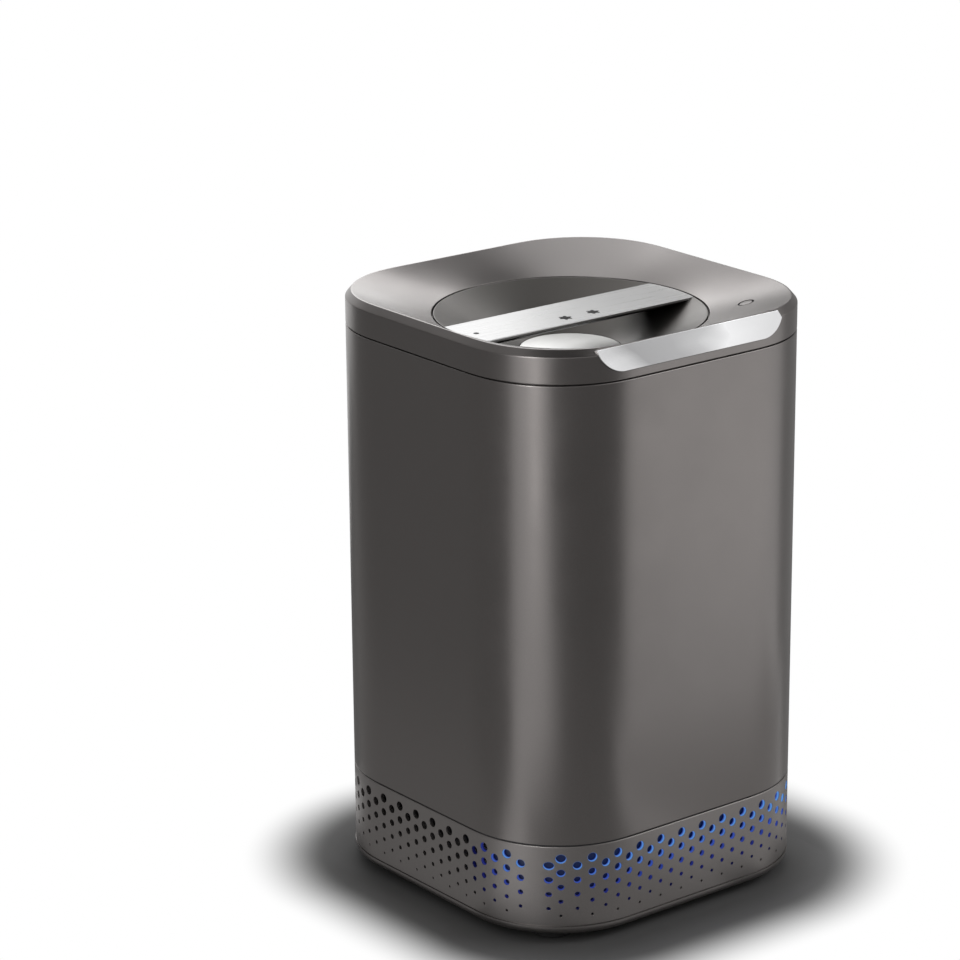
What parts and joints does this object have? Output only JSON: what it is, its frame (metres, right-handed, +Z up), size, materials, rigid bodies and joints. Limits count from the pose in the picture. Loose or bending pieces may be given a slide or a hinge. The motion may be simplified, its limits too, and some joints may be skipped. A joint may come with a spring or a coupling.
{
  "type": "electric food waste composter",
  "caption": "Countertop electric food waste composter: rounded square body on a perforated base, twist-off bowl lid with a bar grip, lift-out bucket, paddle drive and rear filter drawer.",
  "frame": {"origin": "on the floor, under the middle of the body", "axes": "+Z up; -Y is the front, with the polished trim; +Y is the back, with the filter drawer and inlet"},
  "size_m": [0.23, 0.23, 0.365],
  "materials": {
    "painted_body": "taupe metallic satin paint",
    "painted_base": "taupe metallic satin paint, perforated",
    "lid_paint": "taupe metallic satin paint",
    "polished_trim": "polished",
    "brushed_bar": "brushed along its length",
    "pad": "satin",
    "dark_plastic": "fine moulded texture",
    "inner_plastic": "moulded",
    "rubber": "matt",
    "seal_rubber": "matt silicone",
    "stainless": "brushed",
    "bucket_metal": "ceramic-coated",
    "paddle_metal": "cast and blasted",
    "bronze": "sintered",
    "gear_steel": "machined",
    "zinc": "cast",
    "screw_steel": "zinc plated",
    "circuit": "solder-masked board",
    "component": "moulded",
    "led": "clear lens",
    "light_guide": "frosted, lit blue",
    "mica": "mica-wrapped",
    "carbon": "granular",
    "foam": "open-cell foam",
    "magnet": "nickel plated",
    "brass_pin": "plated"
  },
  "bodies": {
    "housing": {"base_pan": "painted_base", "rubber_feet": "rubber", "vent_skirt": "painted_base", "inlet_socket": "dark_plastic", "inlet_pins": "brass_pin", "light_guide": "light_guide", "led_board": "circuit", "leds": "led", "chassis_deck": "inner_plastic", "chassis_screws": "screw_steel", "body_shell": "painted_body", "gearbox_base": "zinc", "gearbox_cover": "zinc", "gearbox_screws": "screw_steel", "shaft_bushes": "bronze", "motor_body": "stainless", "top_collar": "painted_body", "front_trim": "polished_trim", "lid_gasket": "seal_rubber", "exhaust_grille": "dark_plastic", "bucket_well": "stainless", "shaft_seal": "seal_rubber", "heater_band": "mica", "thermostat": "component", "thermal_fuse": "component", "well_screws": "screw_steel", "exhaust_duct": "inner_plastic", "fan_housing": "inner_plastic", "filter_bay": "inner_plastic", "button_switch": "component", "control_board": "circuit", "board_parts": "component", "reed_sensor": "component", "power_board": "circuit", "power_parts": "component"},
    "output_drive": {"output_gear": "gear_steel", "output_shaft": "gear_steel"},
    "counter_wheel": {"counter_gear": "gear_steel"},
    "motor_rotor": {"motor_pinion": "gear_steel"},
    "fan": {"fan_wheel": "dark_plastic"},
    "filter_drawer": {"drawer_tray": "inner_plastic", "drawer_front": "dark_plastic", "carbon_cartridge": "carbon", "foam_pad": "foam"},
    "bucket": {"bucket": "bucket_metal", "bucket_bush": "bronze", "bucket_grips": "stainless", "breakers": "paddle_metal"},
    "paddle": {"paddle_shaft": "gear_steel", "paddle": "paddle_metal", "paddle_nut": "stainless"},
    "lid_inner": {"lid_liner": "inner_plastic", "lid_seal": "seal_rubber"},
    "lid": {"lid_bowl": "lid_paint", "lid_magnet": "magnet", "lid_disc": "pad", "lid_pivot": "stainless", "lid_bridge": "dark_plastic", "lid_bar": "brushed_bar"},
    "power_button": {"power_button": "lid_paint"}
  },
  "joints": [
    {"name": "bucket_lift", "type": "slide", "parent": "housing", "child": "bucket", "axis": [0, 0, 1], "range_m": [0, 0.27]},
    {"name": "lid_lift", "type": "slide", "parent": "bucket", "child": "lid_inner", "axis": [0, 0, 1], "range_m": [0, 0.06]},
    {"name": "lid_turn", "type": "hinge", "parent": "lid_inner", "child": "lid", "pos_m": [0, 0, 0.326], "axis": [0, 0, 1], "range_deg": [0, 25]},
    {"name": "paddle_spin", "type": "hinge", "parent": "bucket", "child": "paddle", "pos_m": [0, 0, 0.12], "axis": [0, 0, 1], "continuous": true},
    {"name": "output_spin", "type": "hinge", "parent": "housing", "child": "output_drive", "pos_m": [0, 0, 0.05], "axis": [0, 0, 1], "continuous": true},
    {"name": "counter_spin", "type": "hinge", "parent": "housing", "child": "counter_wheel", "pos_m": [0.01448, -0.03459, 0.03], "axis": [0, 0, 1], "continuous": true},
    {"name": "motor_spin", "type": "hinge", "parent": "housing", "child": "motor_rotor", "pos_m": [0, -0.062, 0.04], "axis": [0, 0, 1], "continuous": true},
    {"name": "fan_spin", "type": "hinge", "parent": "housing", "child": "fan", "pos_m": [0.07503, 0.07503, 0.08], "axis": [0, 0, 1], "continuous": true},
    {"name": "drawer_slide", "type": "slide", "parent": "housing", "child": "filter_drawer", "axis": [0, 1, 0], "range_m": [0, 0.07]},
    {"name": "button_press", "type": "slide", "parent": "housing", "child": "power_button", "axis": [0, 0, -1], "range_m": [0, 0.0008], "stiffness_N_per_m": 400, "springref_m": -0.0008}
  ],
  "couplings": [
    {"joint": "output_spin", "follows": "paddle_spin", "ratio": 1},
    {"joint": "counter_spin", "follows": "paddle_spin", "ratio": -3},
    {"joint": "motor_spin", "follows": "paddle_spin", "ratio": 10.286}
  ]
}
